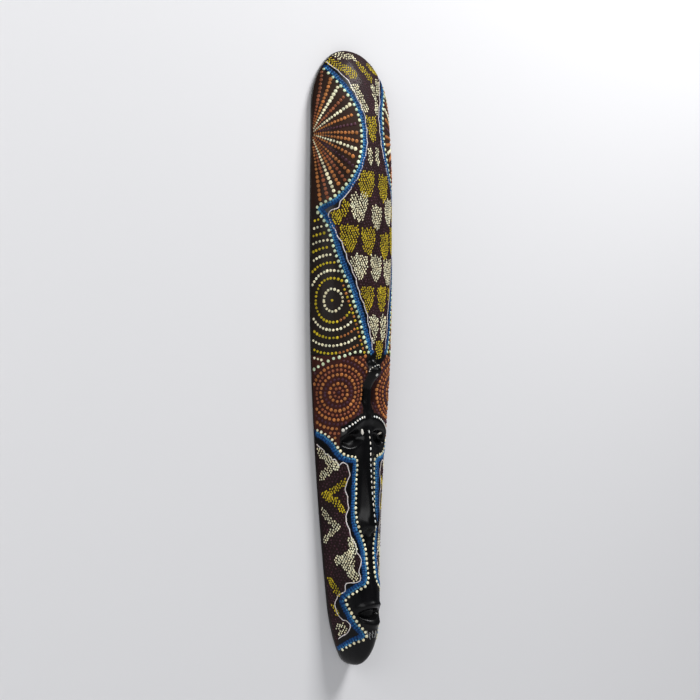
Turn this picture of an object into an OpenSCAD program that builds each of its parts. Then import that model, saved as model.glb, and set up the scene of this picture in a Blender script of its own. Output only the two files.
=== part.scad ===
// Long carved wooden wall mask, painted on the front, hollowed at the back and hung from a
// hinged steel ring. Millimetres. +Z is up, the face looks along -Y and the wall is a plane
// at y = hook_reach. The origin is the seat of the wall's hook, on the inside of the ring.

/* [Mask] */
// Height of the mask from chin to top
mask_len = 1000; // [840:1:1200]
// Widest width of the mask
mask_w = 166; // [136:1:200]
// Depth of the plain curved front, from the wall
mask_depth = 65; // [54:1:78]
// How peaked the front is across its width: 1 is round
crown_power = 1.12; // [1:0.01:1.25]
// Height of the straight band at the wall, all round
rim_band = 5; // [3:0.5:9]
// Share of the height at which the mask is widest
widest_at = 0.62; // [0.5:0.01:0.7]
// Share of the width that is lost towards the chin
chin_taper = 0.64; // [0.4:0.01:0.7]
// Share of the width that is lost towards the top
top_taper = 0.05; // [0:0.01:0.15]
// Length of the rounding of the outline at the chin
chin_round = 100; // [70:1:140]
// Length of the rounding of the outline at the top
top_round = 95; // [60:1:120]
// Length over which the front rises from the thin top edge
top_slope = 235; // [160:1:280]
// Depth of the lowest point of the chin
chin_tip_depth = 17; // [12:1:24]
// Length over which the front rises from the tip of the chin
chin_slope = 64; // [45:1:80]

/* [Face] */
// Height of the middle of the long dip between the cheeks, above the chin
cheek_z = 285; // [250:1:310]
// Depth of the long dip between the cheeks
cheek_dip = 16; // [0:0.5:19]
// Height of the tip of the nose
nose_tip_z = 228; // [210:1:245]
// Height at which the nose starts, between the eyes
nose_top_z = 392; // [360:1:400]
// How far the tip of the nose stands out
nose_tip_rise = 17; // [10:0.5:20]
// How far the nose stands out between the eyes
nose_top_rise = 3; // [2:0.5:8]
// Half width of the nose between the eyes
nose_top_half = 13; // [9:0.5:16]
// Half width of the nose over the nostrils
nose_tip_half = 19; // [14:0.5:24]
// Depth of the hollow at the root of the nose
bridge_sink = 8; // [0:0.5:10]
// Sideways distance of each eye's centre
eye_x = 30; // [24:0.5:36]
// Height of each eye's centre
eye_z = 369; // [350:1:380]
// Half width of each eye hollow
eye_half_w = 19; // [12:0.5:22]
// Half height of each eye hollow
eye_half_h = 13; // [8:0.5:16]
// Depth of each eye hollow
eye_sink = 12; // [6:0.5:14]
// How far the brows stand out
brow_rise = 5.5; // [2:0.5:8]
// Height of the inner ends of the brows
brow_z = 402; // [395:1:410]
// Height of the rounded knob on the forehead
knob_z = 480; // [460:1:495]
// How far the knob stands out of the forehead ridge
knob_rise = 14; // [5:0.5:16]
// How far the forehead ridge stands out
ridge_rise = 3.5; // [2:0.5:6]
// Half width of the forehead ridge
ridge_half = 7; // [5:0.5:10]
// Depth of the groove on each side of the forehead ridge
groove_sink = 6; // [3:0.5:8]
// Height of the middle of the mouth
mouth_z = 88; // [80:1:96]
// Half width of the open mouth
mouth_half_w = 23; // [16:0.5:26]
// Half height of the open mouth
mouth_half_h = 9; // [6:0.5:12]
// Depth of the open mouth
mouth_sink = 12; // [8:0.5:15]
// How far the lips stand out
lip_rise = 3.5; // [2:0.5:6]
// How far the muzzle stands out round the mouth
muzzle_rise = 5; // [2:0.5:10]

/* [Back] */
// Width of the flat rim round the hollow back
rim_w = 13; // [9:0.5:16]
// Wood that is left in front of the hollow back
wall = 17; // [15:0.5:22]
// Height at which the hollow starts above the chin
hollow_start = 120; // [105:1:150]
// Distance from the top of the mask to the upper end of the hollow
hollow_drop = 215; // [195:1:250]
// Length of the slope at each end of the hollow
hollow_slope = 90; // [60:1:120]

/* [Hanger] */
// Distance from the top of the mask to the hook's seat
hook_drop = 130; // [115:1:140]
// Distance from the wall to the hook's seat
hook_reach = 4; // [3:0.1:5]
// Depth of the pocket that the hanger lies in
pocket_depth = 12; // [10:0.5:16]
// Width of the pocket
pocket_w = 44; // [38:1:52]
// Room above and below the hanger in the pocket
pocket_room = 8; // [4:0.5:12]
// Diameter of the ring's wire
wire_d = 2.5; // [2:0.1:3]
// Width of the ring between the middles of its legs
ring_w = 24; // [20:0.5:28]
// Length of the ring's straight legs
ring_leg = 6; // [3:0.5:9]
// Radius of the bends at the ends of the ring's straight bar
ring_bend = 3; // [2.5:0.1:4]
// Width of the strap
strap_w = 12; // [10:0.5:14]
// Thickness of the strap
strap_t = 1.2; // [1:0.1:1.5]
// Length of the strap below the ring's bar
strap_len = 36; // [32:1:42]
// Gap between the ring's bar and the strap's eye
bar_gap = 0.1; // [0.05:0.01:0.1]
// Diameter of the screws' shanks
screw_d = 3; // [2.5:0.1:3.5]
// Length of the screws' shanks
screw_len = 15; // [12:1:20]
// Diameter of the screws' heads
head_d = 6; // [5.5:0.1:7]
// Height of the screws' heads
head_h = 1.8; // [1.5:0.1:2.2]
// Distance between the two screws
screw_pitch = 16; // [14:0.5:20]

/* [Hidden] */
$fn = 48;
screw_gap = 0.05; // between a screw and its hole
cheek_reach = 170; // how far the dip between the cheeks runs up and down
taper_bend = 1.85; // how late the outline narrows towards the chin
chin_back = 12; // rounding of the chin at the wall
chin_back_share = 0.8; // share of the tip's depth that is left free behind it
tip_inset = 1.5; // first and last rows lie this far inside the ends
nose_bend = 1.6; // how late the nose rises towards its tip
nose_flare = 4; // how late the nose widens towards its tip
nose_end = 18; // length of the slope under the tip of the nose
nose_start = 14; // length of the slope above the nose
bridge_reach = 24; // half width of the hollow at the root of the nose
bridge_low = 352; // height at which that hollow starts
bridge_slope = 52; // length of its lower slope
bridge_gap = 8; // distance from the knob down to that hollow
bridge_end = 24; // length of its upper slope
eye_tilt = 0.2; // how much the eyes sink outwards
eye_soft = 1.2; // where an eye hollow starts, as a share of its size
eye_steep = 1.5; // how steep the edge of an eye hollow is
brow_bend = 0.0125; // how fast the brows drop outwards
brow_half = 8; // half height of a brow
brow_end = 56; // where a brow ends
brow_fade = 12; // length over which it fades
knob_reach = 12; // half width of the knob
knob_stretch = 1.15; // how much taller than wide the knob is
ridge_end = 16; // length of the slope at each end of the ridge
ridge_over = 20; // height of the ridge above the knob's middle
groove_over = 26; // height of the grooves above the knob's middle
groove_top = 14; // length of the slope at a groove's upper end
groove_half = 4; // half width of a groove
groove_low = 12; // distance of a groove's lower end above the brows
groove_fade = 18; // length of the slope at a groove's lower end
muzzle_half = 24; // half width of the muzzle
muzzle_half_h = 44; // half height of the muzzle
muzzle_up = 24; // height of the muzzle's middle above the mouth's
lip_up = 16; // distance of the lips' middles from the mouth's
lip_half = 4.7; // half height of a lip
lip_bend = 0.0088; // how fast the lips close outwards
lip_end = 29; // where a lip ends
lip_fade = 14; // length over which it fades
mouth_soft = 1.2; // where the open mouth starts, as a share of its size
mouth_steep = 1.6; // how steep its edge is
face_edge = [2.2, 0.25]; // keeps the carved face off the rim
front_columns = 48;
back_columns = 12;
chin_rows = 7; // rows round the tip of the chin
chin_reach = 3; // how far they reach, as a multiple of chin_back
face_low = 40; // height at which the carved face starts
face_pitch = 8; // rows over the carved face
plain_pitch = 22; // rows over the plain forehead
face_top = 520; // height at which the carved face ends
top_rows = 15; // rows over the top
wood = [0.17, 0.11, 0.08];
steel = [0.66, 0.66, 0.68];
brass = [0.72, 0.6, 0.35];

chin_z = hook_drop - mask_len; // the chin's place in the part's frame
wall_y = hook_reach;
floor_y = wall_y - pocket_depth; // the pocket's floor, which the strap lies on
eye_r = wire_d / 2 + bar_gap; // inside of the strap's eye
eye_out = eye_r + strap_t;
bar_y = floor_y + eye_out; // the ring's axis
ring_reach = ring_bend + ring_leg + ring_w / 2 - wire_d / 2; // from the axis to the seat
ring_lean = asin(-bar_y / ring_reach); // the ring leans back to the hook
bar_z = -ring_reach * cos(ring_lean);
plate_y = floor_y + strap_t; // the strap's outer face
plate_low = bar_z - strap_len;
screw_high_z = bar_z - strap_len / 2 + screw_pitch / 2 - 2;
screw_zs = [screw_high_z, screw_high_z - screw_pitch];

function bell(t) = exp(-t * t);
function ramp(t) = let (c = min(max(t, 0), 1)) c * c * (3 - 2 * c);
function dome(t) = t >= 1 ? 1 : sqrt(max(0, 1 - (1 - t) * (1 - t)));

// Half width of the outline at a height s above the chin
function taper(u) = u < widest_at
    ? 1 - chin_taper * pow((widest_at - u) / widest_at, taper_bend)
    : 1 - top_taper * pow((u - widest_at) / (1 - widest_at), 2);
function half_width(s) =
    mask_w / 2 * taper(s / mask_len) * dome(s / chin_round) * dome((mask_len - s) / top_round);

// Depth of the plain front on the centre line
function chin_depth(s) = let (d = dome(s / chin_slope)) chin_tip_depth * (1 - d) / mask_depth + d;
function front_depth(s) =
    (mask_depth - cheek_dip * bell((s - cheek_z) / cheek_reach))
    * chin_depth(s) * dome((mask_len - s) / top_slope);
function back_depth(s) = chin_tip_depth * chin_back_share * (1 - dome(s / chin_back));

// Carved face: how far the surface stands out at x and s
function nose_run(s) = min(max((nose_top_z - s) / (nose_top_z - nose_tip_z), 0), 1);
function nose(x, s) = let (
        half = nose_top_half + (nose_tip_half - nose_top_half) * pow(nose_run(s), nose_flare),
        rise = nose_top_rise + (nose_tip_rise - nose_top_rise) * pow(nose_run(s), nose_bend),
        ends = ramp((nose_top_z - s) / nose_start + 1) * ramp((s - nose_tip_z) / nose_end + 1))
    rise * ends * ramp(1.25 * (1 - abs(x) / half));
function bridge(x, s) = -bridge_sink * bell(x / bridge_reach)
    * ramp((knob_z - bridge_gap - s) / bridge_end) * ramp((s - bridge_low) / bridge_slope);
function brow(x, s) = let (t = (s - brow_z + brow_bend * x * x) / brow_half)
    brow_rise * bell(t) * ramp((brow_end - abs(x)) / brow_fade);
function eye(x, s) = let (
        side = abs(x) - eye_x,
        r = norm([side / eye_half_w, (s - eye_z + eye_tilt * side) / eye_half_h]))
    -eye_sink * ramp(eye_steep * (eye_soft - r));
function ridge(x, s) = let (
        along = ramp((knob_z + ridge_over - s) / ridge_end) * ramp((s - brow_z) / ridge_end + 0.5),
        knob = bell(norm([x, (s - knob_z) / knob_stretch]) / knob_reach))
    along * (ridge_rise * ramp(1.5 * (1 - abs(x) / ridge_half)) + knob_rise * knob);
function groove(x, s) = -groove_sink * bell((abs(x) - ridge_half - groove_half) / groove_half)
    * ramp((knob_z + groove_over - s) / groove_top)
    * ramp((s - brow_z - groove_low) / groove_fade);
function lip(x, drop) = lip_rise * bell((drop + lip_bend * x * x) / lip_half)
    * ramp((lip_end - abs(x)) / lip_fade);
function mouth(x, s) = let (
        up = s - mouth_z,
        r = norm([x / mouth_half_w, up / mouth_half_h]))
    muzzle_rise * bell(norm([x / muzzle_half, (up - muzzle_up) / muzzle_half_h]))
    + lip(x, up - lip_up) + lip(x, -up - lip_up)
    - mouth_sink * ramp(mouth_steep * (mouth_soft - r));
function relief(x, s) = s > face_top ? 0
    : nose(x, s) + bridge(x, s) + brow(x, s) + eye(x, s) + ridge(x, s) + groove(x, s)
        + mouth(x, s);

// One closed row of points at the height s: the front from left to right, then the back
function hollow_share(s) =
    dome((s - hollow_start) / hollow_slope) * dome((mask_len - hollow_drop - s) / hollow_slope);
function hollow_depth(s) = s <= hollow_start || s >= mask_len - hollow_drop ? 0
    : (front_depth(s) - wall) * hollow_share(s);
function front_point(s, k) = let (
        angle = -90 + 180 * k / front_columns,
        a = half_width(s),
        back = back_depth(s),
        deep = max(front_depth(s) - back, 0.5),
        band = min(rim_band, deep / 3),
        x = a * sin(angle),
        out = back + band + (deep - band) * pow(max(cos(angle), 0), crown_power)
            + relief(x, s) * ramp(face_edge[0] * cos(angle) - face_edge[1]))
    [x, wall_y - out, chin_z + s];
function back_point(s, k) = let (
        angle = 90 - 180 * k / back_columns,
        a = half_width(s),
        inner = max(a - rim_w, a / 2),
        out = back_depth(s) + hollow_depth(s) * cos(angle))
    [inner * sin(angle), wall_y - out, chin_z + s];
function row(s) = let (a = half_width(s), back = back_depth(s)) concat(
    [for (k = [0:front_columns]) front_point(s, k)],
    [[a, wall_y - back, chin_z + s]],
    [for (k = [0:back_columns]) back_point(s, k)],
    [[-a, wall_y - back, chin_z + s]]);

plain_rows = ceil((mask_len - hollow_drop - face_top) / plain_pitch);
row_heights = concat(
    [for (i = [1:chin_rows])
        chin_back * chin_reach * pow(i / (chin_rows + 1), 2) + tip_inset],
    [for (s = [face_low:face_pitch:face_top]) s],
    [for (i = [1:plain_rows])
        face_top + (mask_len - hollow_drop - face_top) * i / plain_rows],
    [for (i = [1:top_rows])
        mask_len - hollow_drop + (hollow_drop - tip_inset) * sin(90 * i / top_rows)]);

module skin(rows, low_tip, high_tip) {
    n = len(rows[0]);
    last = len(rows) - 1;
    points = concat([for (r = rows) each r], [low_tip, high_tip]);
    sides = [for (i = [0:last - 1]) for (k = [0:n - 1]) let (j = (k + 1) % n)
        each [[i * n + k, (i + 1) * n + k, (i + 1) * n + j],
              [i * n + k, (i + 1) * n + j, i * n + j]]];
    low = [for (k = [0:n - 1]) [k, (k + 1) % n, len(points) - 2]];
    high = [for (k = [0:n - 1]) [last * n + (k + 1) % n, last * n + k, len(points) - 1]];
    polyhedron(points, concat(sides, low, high), convexity = 8);
}

module along_y(y, z) translate([0, y, z]) rotate([90, 0, 0]) children();

module pocket() {
    low = plate_low - pocket_room;
    high = wire_d + pocket_room;
    translate([-pocket_w / 2, floor_y, low]) cube([pocket_w, pocket_depth + 1, high - low]);
}

module mask_shell() {
    color(wood) difference() {
        skin([for (s = row_heights) row(s)],
            [0, wall_y - chin_tip_depth, chin_z], [0, wall_y - 2, chin_z + mask_len]);
        pocket();
        for (z = screw_zs)
            along_y(floor_y + 1, z)
                cylinder(d = screw_d + 2 * screw_gap, h = screw_len - strap_t + 2);
    }
}

module hanger_strap() {
    color(steel) difference() {
        union() {
            translate([-strap_w / 2, floor_y, plate_low])
                cube([strap_w, strap_t, strap_len]);
            translate([-strap_w / 2, bar_y, bar_z]) rotate([0, 90, 0])
                cylinder(r = eye_out, h = strap_w);
        }
        translate([-strap_w / 2 - 1, bar_y, bar_z]) rotate([0, 90, 0])
            cylinder(r = eye_r, h = strap_w + 2);
        for (z = screw_zs)
            along_y(plate_y + 1, z) cylinder(d = screw_d + 2 * screw_gap, h = strap_t + 2);
    }
}

module bend(angle) rotate_extrude(angle = angle) translate([ring_bend, 0]) circle(d = wire_d);

module flat_ring() {
    half = ring_w / 2;
    inner = half - ring_bend;
    translate([-inner, 0, 0]) rotate([0, 90, 0]) cylinder(d = wire_d, h = 2 * inner);
    for (side = [0, 1]) mirror([side, 0, 0]) {
        translate([inner, 0, ring_bend]) rotate([90, 0, 0]) rotate([0, 0, -90]) bend(90);
        translate([half, 0, ring_bend]) cylinder(d = wire_d, h = ring_leg);
    }
    translate([0, 0, ring_bend + ring_leg]) rotate([90, 0, 0])
        rotate_extrude(angle = 180) translate([half, 0]) circle(d = wire_d);
}

module hanger_ring() {
    color(steel) translate([0, bar_y, bar_z]) rotate([-ring_lean, 0, 0]) flat_ring();
}

module screw(z) {
    color(brass) {
        along_y(plate_y, z) cylinder(d = screw_d, h = screw_len);
        along_y(plate_y + head_h, z) cylinder(d = head_d, h = head_h);
    }
}

module screw_upper() screw(screw_zs[0]);
module screw_lower() screw(screw_zs[1]);

mask_shell();
hanger_strap();
hanger_ring();
screw_upper();
screw_lower();
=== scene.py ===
"""A long narrow carved wooden wall mask with a dot-painted front, hung from a hinged steel ring."""
import logging
import math
import random
from dataclasses import dataclass, field
from enum import Enum
from typing import Callable

import bmesh
import bpy
import numpy as np
from mathutils import Matrix, Vector


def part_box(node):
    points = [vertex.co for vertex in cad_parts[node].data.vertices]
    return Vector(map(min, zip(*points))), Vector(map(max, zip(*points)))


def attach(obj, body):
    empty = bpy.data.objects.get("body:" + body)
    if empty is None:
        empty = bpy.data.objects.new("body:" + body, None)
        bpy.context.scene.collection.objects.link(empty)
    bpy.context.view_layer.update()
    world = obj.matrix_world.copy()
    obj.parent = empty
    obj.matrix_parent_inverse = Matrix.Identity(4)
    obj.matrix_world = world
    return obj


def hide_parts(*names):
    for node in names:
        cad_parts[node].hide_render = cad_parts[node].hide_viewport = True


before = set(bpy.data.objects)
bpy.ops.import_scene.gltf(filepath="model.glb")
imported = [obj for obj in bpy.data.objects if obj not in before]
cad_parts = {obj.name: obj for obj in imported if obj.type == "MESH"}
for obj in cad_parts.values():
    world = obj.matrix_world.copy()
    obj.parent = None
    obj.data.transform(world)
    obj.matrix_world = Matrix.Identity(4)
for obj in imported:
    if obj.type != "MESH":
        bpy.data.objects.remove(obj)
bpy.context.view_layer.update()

LOG = logging.getLogger("mask")
MM = 0.001
BODY = "mask"
Colour = tuple[float, float, float]
Spot = tuple[float, float]


class Side(Enum):
    """The two halves of the mask, as the sign of x."""

    LEFT = -1.0
    RIGHT = 1.0


class Paint(Enum):
    """The painter's colours, as linear red, green and blue."""

    BLACK = (0.0035, 0.0035, 0.004)
    FAN_GROUND = (0.030, 0.013, 0.008)
    PANEL_GROUND = (0.020, 0.007, 0.008)
    RING_GROUND = (0.016, 0.011, 0.009)
    SUN_GROUND = (0.046, 0.011, 0.008)
    CHEEK_GROUND = (0.016, 0.007, 0.007)
    DEEP_BLUE = (0.005, 0.030, 0.110)
    BLUE = (0.009, 0.072, 0.230)
    PALE_BLUE = (0.052, 0.225, 0.420)
    MINT = (0.740, 0.880, 0.600)
    CREAM = (0.950, 0.900, 0.610)
    WHITE = (0.900, 0.890, 0.820)
    LINE = (0.760, 0.700, 0.690)
    YELLOW = (0.590, 0.450, 0.020)
    ORANGE = (0.460, 0.172, 0.050)
    RUST = (0.330, 0.105, 0.048)
    PLUM = (0.070, 0.026, 0.040)
    DUSK = (0.042, 0.018, 0.025)
    GREY = (0.240, 0.240, 0.240)


def bell(t: np.ndarray) -> np.ndarray:
    """Return a smooth bump that is 1 at 0 and fades within about 2."""
    return np.exp(-t * t)


def ramp(t: np.ndarray) -> np.ndarray:
    """Return a smooth step from 0 at 0 to 1 at 1."""
    c = np.clip(t, 0.0, 1.0)
    return c * c * (3.0 - 2.0 * c)


def dome(t: np.ndarray) -> np.ndarray:
    """Return a quarter circle's height, from 0 at 0 to 1 at 1 and beyond."""
    c = np.clip(t, 0.0, 1.0)
    return np.sqrt(np.maximum(0.0, 1.0 - (1.0 - c) ** 2))


def smooth_path(points: list[Spot], step: float) -> np.ndarray:
    """Run a smooth curve through a list of points.

    Args:
        points: The points that the curve passes through.
        step: The distance between the points that come back.

    Returns:
        An array of points at even distances along the curve.
    """
    pts = np.array([points[0], *points, points[-1]], dtype=float)
    fine = []
    for i in range(1, len(pts) - 2):
        t = np.linspace(0.0, 1.0, 24, endpoint=False)[:, None]
        p0, p1, p2, p3 = pts[i - 1 : i + 3]
        fine.append(
            0.5 * (2 * p1 + (p2 - p0) * t + (2 * p0 - 5 * p1 + 4 * p2 - p3) * t**2
                   + (3 * p1 - p0 - 3 * p2 + p3) * t**3)
        )
    line = np.vstack([*fine, pts[-1:]])
    run = np.concatenate([[0.0], np.cumsum(np.linalg.norm(np.diff(line, axis=0), axis=1))])
    at = np.arange(0.0, run[-1], step)
    return np.column_stack([np.interp(at, run, line[:, 0]), np.interp(at, run, line[:, 1])])


def shifted(path: np.ndarray, out: float) -> np.ndarray:
    """Move a path sideways.

    Args:
        path: Points along the path.
        out: The distance to the path's left, seen the way it runs.

    Returns:
        The moved points.
    """
    way = np.gradient(path, axis=0)
    way /= np.maximum(np.linalg.norm(way, axis=1, keepdims=True), 1e-9)
    return path + out * np.column_stack([-way[:, 1], way[:, 0]])


def distance_to(path: np.ndarray, spots: np.ndarray) -> np.ndarray:
    """Return each spot's distance to the nearest stretch of a path."""
    near = np.full(len(spots), np.inf)
    for a, b in zip(path[:-1], path[1:]):
        along = b - a
        t = np.clip(((spots - a) @ along) / max(float(along @ along), 1e-9), 0.0, 1.0)
        near = np.minimum(near, np.linalg.norm(spots - a - t[:, None] * along, axis=1))
    return near


@dataclass
class Carving:
    """The carved wood's surface in millimetres: the CAD model's shape, with finer detail.

    The nose's wings and nostrils, the folds beside it, the eyelids and the groove over the
    lips are only here. Heights run up from the chin. Across the front a point is placed either by a turning
    angle, or by its distance from the centre line along the curved surface.
    """

    length: float = 1000.0
    width: float = 166.0
    depth: float = 65.0
    crown: float = 1.12
    rim_band: float = 5.0
    widest: float = 0.62
    chin_taper: float = 0.64
    top_taper: float = 0.05
    chin_round: float = 100.0
    top_round: float = 95.0
    top_slope: float = 235.0
    chin_slope: float = 64.0
    chin_tip: float = 17.0
    chin_back: float = 12.0
    cheek_z: float = 285.0
    cheek_dip: float = 16.0
    cheek_spread: float = 170.0
    wall_y: float = 4.0
    chin_z: float = -870.0
    rim_w: float = 13.0
    wall: float = 17.0
    hollow_start: float = 120.0
    hollow_end: float = 785.0
    hollow_drop: float = 215.0
    hollow_slope: float = 90.0
    flat_from: float = 0.9
    nose_top_z: float = 392.0
    nose_tip_z: float = 228.0
    nose_top_half: float = 13.0
    nose_tip_half: float = 19.0
    nose_top_rise: float = 3.0
    nose_tip_rise: float = 17.0
    nose_flare: float = 4.0
    nose_bend: float = 1.6
    nose_start: float = 14.0
    nose_end: float = 18.0
    nose_steep: float = 1.25
    nose_crest: float = 0.28
    wing_rise: float = 4.0
    wing_spot: Spot = (13.0, 238.0)
    wing_reach: Spot = (5.0, 11.0)
    nostril_sink: float = 7.0
    nostril_spot: Spot = (7.0, 220.0)
    nostril_reach: Spot = (4.5, 6.0)
    fold_sink: float = 3.5
    fold_gap: float = 6.0
    fold_half: float = 7.0
    fold_low: float = 205.0
    fold_low_fade: float = 30.0
    fold_high: float = 372.0
    fold_high_fade: float = 40.0
    bridge_sink: float = 8.0
    bridge_reach: float = 24.0
    bridge_low: float = 352.0
    bridge_slope: float = 52.0
    bridge_high: float = 472.0
    bridge_end: float = 24.0
    brow_rise: float = 5.5
    brow_z: float = 402.0
    brow_bend: float = 0.0125
    brow_half: float = 8.0
    brow_upper: float = 1.3
    brow_end: float = 56.0
    brow_fade: float = 12.0
    eye_x: float = 30.0
    eye_z: float = 369.0
    eye_half_w: float = 19.0
    eye_half_h: float = 13.0
    eye_sink: float = 12.0
    eye_tilt: float = 0.2
    eye_soft: float = 1.2
    eye_steep: float = 1.5
    lid_rise: float = 2.5
    lid_z: float = 361.0
    lid_half: float = 3.2
    lid_steep: float = 2.2
    ridge_rise: float = 3.5
    ridge_half: float = 7.0
    ridge_steep: float = 1.5
    ridge_low: float = 394.0
    ridge_high: float = 500.0
    ridge_end: float = 16.0
    knob_rise: float = 14.0
    knob_z: float = 480.0
    knob_reach: float = 12.0
    knob_stretch: float = 1.15
    groove_sink: float = 6.0
    groove_x: float = 11.0
    groove_half: float = 4.0
    groove_low: float = 414.0
    groove_low_fade: float = 18.0
    groove_high: float = 506.0
    groove_high_fade: float = 14.0
    mouth_z: float = 88.0
    mouth_half_w: float = 23.0
    mouth_half_h: float = 9.0
    mouth_sink: float = 12.0
    mouth_soft: float = 1.2
    mouth_steep: float = 1.6
    muzzle_rise: float = 5.0
    muzzle_z: float = 112.0
    muzzle_half: float = 24.0
    muzzle_half_h: float = 44.0
    lip_rise: float = 3.5
    lip_bend: float = 0.0088
    lip_fade: float = 14.0
    upper_lip_z: float = 104.0
    upper_lip_half: float = 4.5
    upper_lip_end: float = 30.0
    lower_lip_z: float = 71.0
    lower_lip_half: float = 5.0
    lower_lip_end: float = 28.0
    lip_groove_sink: float = 2.0
    lip_groove_half: float = 5.0
    lip_groove_high: float = 208.0
    face_top: float = 530.0
    face_fade: float = 20.0
    face_edge: Spot = (2.2, 0.25)
    angles: np.ndarray = field(default_factory=lambda: np.radians(np.linspace(-90, 90, 181)))
    heights: np.ndarray = field(default_factory=lambda: np.linspace(1.0, 999.0, 500))

    def __post_init__(self) -> None:
        """Take the overall sizes from the CAD node and measure the plain surface."""
        low, high = (Vector(corner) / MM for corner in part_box("mask_shell"))
        self.length = high.z - low.z
        self.width = high.x - low.x
        self.wall_y = high.y
        self.chin_z = low.z
        self.hollow_end = self.length - self.hollow_drop
        self.heights = np.linspace(1.0, self.length - 1.0, 500)
        self.reach = self.run_across(self.angles[None, :], self.heights[:, None])

    def half_width(self, s: np.ndarray) -> np.ndarray:
        """Return half the outline's width at the heights s."""
        u = s / self.length
        low = self.chin_taper * np.maximum((self.widest - u) / self.widest, 0.0) ** 1.85
        high = self.top_taper * np.maximum((u - self.widest) / (1 - self.widest), 0.0) ** 2
        ends = dome(s / self.chin_round) * dome((self.length - s) / self.top_round)
        return self.width / 2 * (1.0 - low - high) * ends

    def front_depth(self, s: np.ndarray) -> np.ndarray:
        """Return the plain front's depth from the wall at the heights s."""
        d = dome(s / self.chin_slope)
        chin = self.chin_tip * (1.0 - d) / self.depth + d
        dip = self.cheek_dip * bell((s - self.cheek_z) / self.cheek_spread)
        return (self.depth - dip) * chin * dome((self.length - s) / self.top_slope)

    def back_depth(self, s: np.ndarray) -> np.ndarray:
        """Return how far the chin's rounding leaves the wall at the heights s."""
        return self.chin_tip * 0.8 * (1.0 - dome(s / self.chin_back))

    def section(self, angle: np.ndarray, s: np.ndarray) -> tuple[np.ndarray, np.ndarray]:
        """Return x and the depth of the plain front at the angles and heights."""
        back = self.back_depth(s)
        deep = np.maximum(self.front_depth(s) - back, 0.5)
        band = np.minimum(self.rim_band, deep / 3)
        curve = np.maximum(np.cos(angle), 0.0) ** self.crown
        return self.half_width(s) * np.sin(angle), back + band + (deep - band) * curve

    def run_across(self, angle: np.ndarray, s: np.ndarray) -> np.ndarray:
        """Return the distance along the surface from the centre line, for rows of angles."""
        x, out = self.section(angle, s)
        steps = np.hypot(np.diff(x, axis=1), np.diff(out, axis=1))
        run = np.concatenate([np.zeros((len(x), 1)), np.cumsum(steps, axis=1)], axis=1)
        middle = run[:, run.shape[1] // 2][:, None]
        return run - middle

    def angle_at(self, q: np.ndarray, s: np.ndarray) -> np.ndarray:
        """Turn distances q from the centre line at the heights s into turning angles."""
        row = np.clip((s - self.heights[0]) / (self.heights[1] - self.heights[0]),
                      0, len(self.heights) - 1.001)
        found = np.empty(len(q))
        for i, (distance, place) in enumerate(zip(q, row)):
            k = int(place)
            lower = np.interp(distance, self.reach[k], self.angles)
            upper = np.interp(distance, self.reach[k + 1], self.angles)
            found[i] = lower + (upper - lower) * (place - k)
        return found

    def edge(self, s: np.ndarray) -> np.ndarray:
        """Return the distance from the centre line to the rim at the heights s."""
        return np.interp(s, self.heights, self.reach[:, -1])

    def pair(self, x: np.ndarray, s: np.ndarray, spot: Spot, reach: Spot) -> np.ndarray:
        """Return two smooth bumps, one on each side of the centre line.

        Args:
            x: Distances from the centre line.
            s: Heights above the chin.
            spot: The bumps' distance from the centre line and their height.
            reach: Their half width and half height.

        Returns:
            Values that are 1 in the middle of a bump.
        """
        return bell((np.abs(x) - spot[0]) / reach[0]) * bell((s - spot[1]) / reach[1])

    def nose(self, x: np.ndarray, s: np.ndarray) -> np.ndarray:
        """Return how far the nose, its wings and its nostrils stand out."""
        run = np.clip((self.nose_top_z - s) / (self.nose_top_z - self.nose_tip_z), 0.0, 1.0)
        half = self.nose_top_half + (self.nose_tip_half - self.nose_top_half) * run**self.nose_flare
        rise = self.nose_top_rise + (self.nose_tip_rise - self.nose_top_rise) * run**self.nose_bend
        ends = (ramp((self.nose_top_z + self.nose_start - s) / self.nose_start)
                * ramp((s - self.nose_tip_z + self.nose_end) / self.nose_end))
        inside = 1 - np.abs(x) / half
        ridge = rise * ends * ((1 - self.nose_crest) * ramp(self.nose_steep * inside)
                               + self.nose_crest * np.clip(inside, 0, 1))
        wings = self.wing_rise * self.pair(x, s, self.wing_spot, self.wing_reach)
        nostrils = self.nostril_sink * self.pair(x, s, self.nostril_spot, self.nostril_reach)
        folds = (self.fold_sink * bell((np.abs(x) - half - self.fold_gap) / self.fold_half)
                 * ramp((s - self.fold_low) / self.fold_low_fade)
                 * ramp((self.fold_high - s) / self.fold_high_fade))
        bridge = (self.bridge_sink * bell(x / self.bridge_reach)
                  * ramp((self.bridge_high - s) / self.bridge_end)
                  * ramp((s - self.bridge_low) / self.bridge_slope))
        return ridge + wings - nostrils - bridge - folds

    def brow(self, x: np.ndarray, s: np.ndarray) -> np.ndarray:
        """Return how far the brows stand out over the eyes."""
        t = (s - (self.brow_z - self.brow_bend * x * x)) / self.brow_half
        shape = np.where(t > 0, bell(t / self.brow_upper), bell(t))
        return self.brow_rise * shape * ramp((self.brow_end - np.abs(x)) / self.brow_fade)

    def eye(self, x: np.ndarray, s: np.ndarray) -> np.ndarray:
        """Return the sunken eyes, each with a raised lid in its hollow."""
        side = np.abs(x) - self.eye_x
        across = side / self.eye_half_w
        up = (s - self.eye_z + self.eye_tilt * side) / self.eye_half_h
        hollow = ramp(self.eye_steep * (self.eye_soft - np.hypot(across, up)))
        lid = (bell((s - self.lid_z + self.eye_tilt * side) / self.lid_half)
               * ramp((1.0 - np.abs(across)) * self.lid_steep))
        return self.lid_rise * lid - self.eye_sink * hollow

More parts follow.
